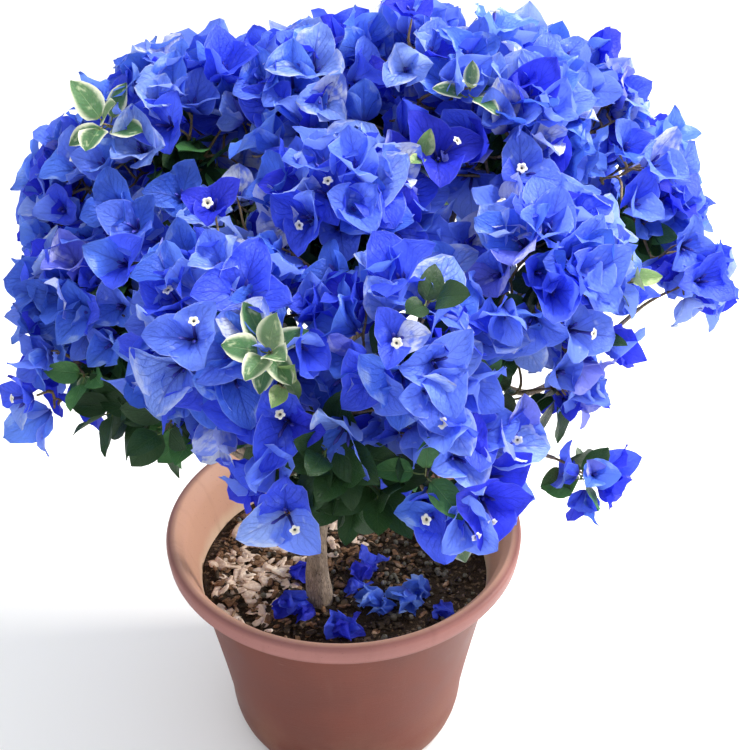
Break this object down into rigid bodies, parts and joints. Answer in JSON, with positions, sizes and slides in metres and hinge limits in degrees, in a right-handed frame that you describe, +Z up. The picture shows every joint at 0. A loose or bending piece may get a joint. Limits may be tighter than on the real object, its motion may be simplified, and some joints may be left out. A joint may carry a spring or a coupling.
{
  "type": "bougainvillea bush",
  "caption": "Bougainvillea bush with blue papery bracts, green leaves and a slender trunk, rooted in potting mix in a round terracotta-coloured plastic pot with a rolled lip.",
  "frame": {"origin": "middle of the flat underside of the pot", "axes": "+Z up along the pot's axis, -Y towards the front of the plant, +X to its right seen from the front"},
  "size_m": [0.589, 0.5119, 0.6681],
  "materials": {
    "pot_plastic": "moulded terracotta-coloured plastic, sun-faded at the lip, satin",
    "potting_mix": "damp dark potting mix with bark chips",
    "bark": "grey-brown bark, finely fissured",
    "bract": "thin papery bract, veined, slightly translucent",
    "leaf": "soft green leaf with a low sheen"
  },
  "bodies": {
    "root": {"bough_back": "bark", "bough_back_left": "bark", "bough_back_right": "bark", "bough_crown_top": "bark", "bough_front": "bark", "bough_front_hang_left": "bark", "bough_front_hang_right": "bark", "bough_front_left": "bark", "bough_front_right": "bark", "bough_hanging_shoot": "bark", "bough_left": "bark", "bough_left_back": "bark", "bough_low_front_leaves": "bark", "bough_low_left": "bark", "bough_low_left_leaves": "bark", "bough_right_back": "bark", "bough_right_low": "bark", "bough_right_tip": "bark", "bough_top_back": "bark", "bough_top_left": "bark", "bough_top_right": "bark", "bough_top_right_tip": "bark", "bough_upper_back_right": "bark", "bough_upper_left": "bark", "foliage_back": "bract", "foliage_back_left": "bract", "foliage_back_right": "bract", "foliage_crown_top": "bract", "foliage_front": "bract", "foliage_front_hang_left": "bract", "foliage_front_hang_right": "bract", "foliage_front_left": "bract", "foliage_front_right": "bract", "foliage_hanging_shoot": "bract", "foliage_left": "bract", "foliage_left_back": "bract", "foliage_low_front_leaves": "leaf", "foliage_low_left": "bract", "foliage_low_left_leaves": "leaf", "foliage_right_back": "bract", "foliage_right_low": "bract", "foliage_right_tip": "bract", "foliage_top_back": "bract", "foliage_top_centre": "bract", "foliage_top_left": "bract", "foliage_top_right": "bract", "foliage_top_right_tip": "bract", "foliage_upper_back_right": "bract", "foliage_upper_left": "bract", "pot": "pot_plastic", "soil": "potting_mix", "trunk": "bark"}
  },
  "joints": []
}
